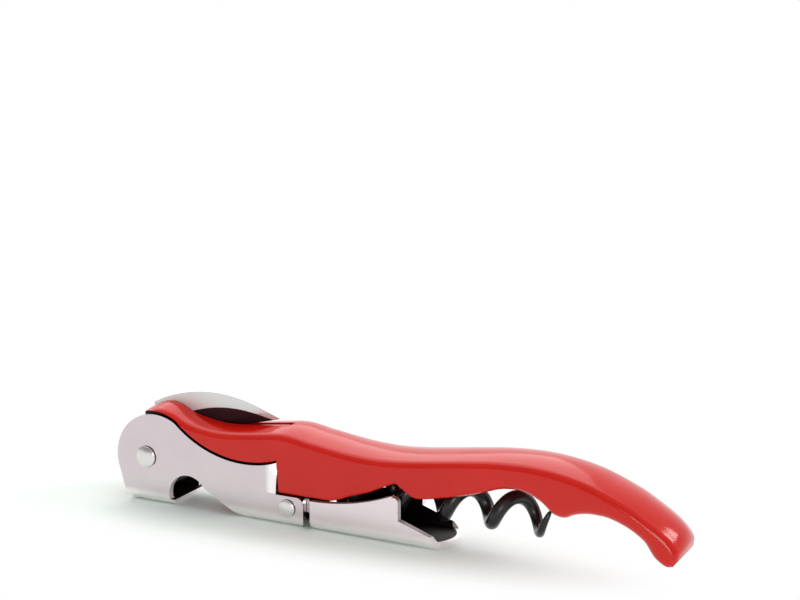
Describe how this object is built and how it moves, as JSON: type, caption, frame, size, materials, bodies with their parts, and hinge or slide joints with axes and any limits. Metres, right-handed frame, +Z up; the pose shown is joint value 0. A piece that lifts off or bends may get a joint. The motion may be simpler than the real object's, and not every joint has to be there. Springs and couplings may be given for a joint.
{
  "type": "corkscrew",
  "caption": "Folding two-step waiter's corkscrew: red cast handle, hinged steel lever with crown cap notch, hinged foot, black coated worm and curved foil blade.",
  "frame": {"origin": "on the plane that the closed tool lies on, under the axis of the lever rivet, midway across the width", "axes": "+X from the lever rivet to the tip of the handle, +Y across the width along the rivet, +Z up from the resting plane to the back of the handle"},
  "size_m": [0.1202, 0.0136, 0.0236],
  "materials": {
    "red_paint": "gloss red enamel on a die-cast handle",
    "plated_sheet": "bright nickel-plated pressed steel sheet",
    "rivet_steel": "peened bright steel",
    "black_coat": "smooth black non-stick coating on steel wire",
    "blade_steel": "finely ground stainless blade"
  },
  "bodies": {
    "handle": {"handle_body": "red_paint", "lever_rivet": "rivet_steel", "worm_pin": "rivet_steel"},
    "lever_arm": {"lever": "plated_sheet", "foot_rivet": "rivet_steel"},
    "foot_arm": {"foot": "plated_sheet"},
    "worm_arm": {"worm": "black_coat"},
    "blade": {"knife_blade": "blade_steel"}
  },
  "joints": [
    {"name": "lever_swing", "type": "hinge", "parent": "handle", "child": "lever_arm", "pos_m": [0, 0, 0.0097], "axis": [0, 1, 0], "range_deg": [0, 130]},
    {"name": "worm_swing", "type": "hinge", "parent": "handle", "child": "worm_arm", "pos_m": [0.0192, 0, 0.0084], "axis": [0, 1, 0], "range_deg": [0, 130]},
    {"name": "foot_swing", "type": "hinge", "parent": "lever_arm", "child": "foot_arm", "pos_m": [0.0333, 0, 0.0037], "axis": [0, 1, 0], "range_deg": [0, 25]},
    {"name": "blade_swing", "type": "hinge", "parent": "handle", "child": "blade", "pos_m": [0, 0, 0.0097], "axis": [0, -1, 0], "range_deg": [0, 135]}
  ],
  "couplings": [
    {"joint": "worm_swing", "follows": "lever_swing", "ratio": 1}
  ]
}
